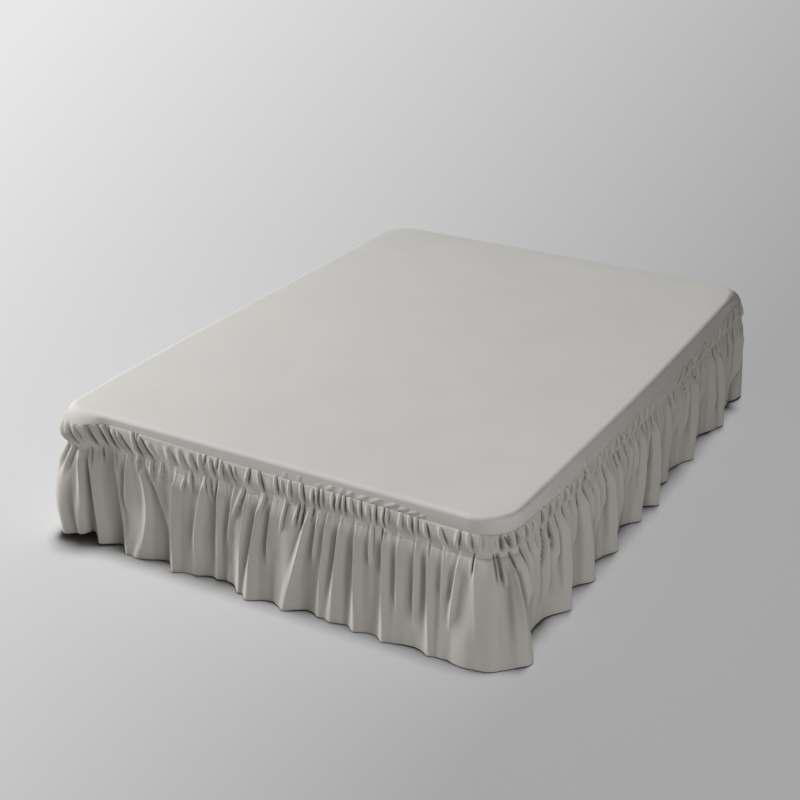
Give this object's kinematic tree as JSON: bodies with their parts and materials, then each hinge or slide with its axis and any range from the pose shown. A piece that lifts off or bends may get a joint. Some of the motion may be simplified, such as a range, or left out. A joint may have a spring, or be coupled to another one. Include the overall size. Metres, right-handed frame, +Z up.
{
  "type": "gathered bed skirt on a bed base",
  "caption": "Fitted bed skirt: a flat deck panel, an elasticated gathered header band and a full gathered valance that hangs to the floor round a plain queen-size bed base on block feet.",
  "frame": {"origin": "on the floor, under the middle of the skirt's whole outline; the bed's own middle is 8 mm to the right of it and 10 mm nearer the head", "axes": "+Z up, +Y towards the head of the bed, +X to the right as seen from its foot"},
  "size_m": [1.6772, 2.2372, 0.45],
  "materials": {
    "cloth": "matt brushed plain weave, warm light grey",
    "bed": "plain matt ticking",
    "foot": "matt black"
  },
  "bodies": {
    "root": {"deck": "cloth", "header_band": "cloth", "skirt": "cloth", "bed_base": "bed", "foot_1": "foot", "foot_2": "foot", "foot_3": "foot", "foot_4": "foot", "foot_5": "foot", "foot_6": "foot"}
  },
  "joints": []
}
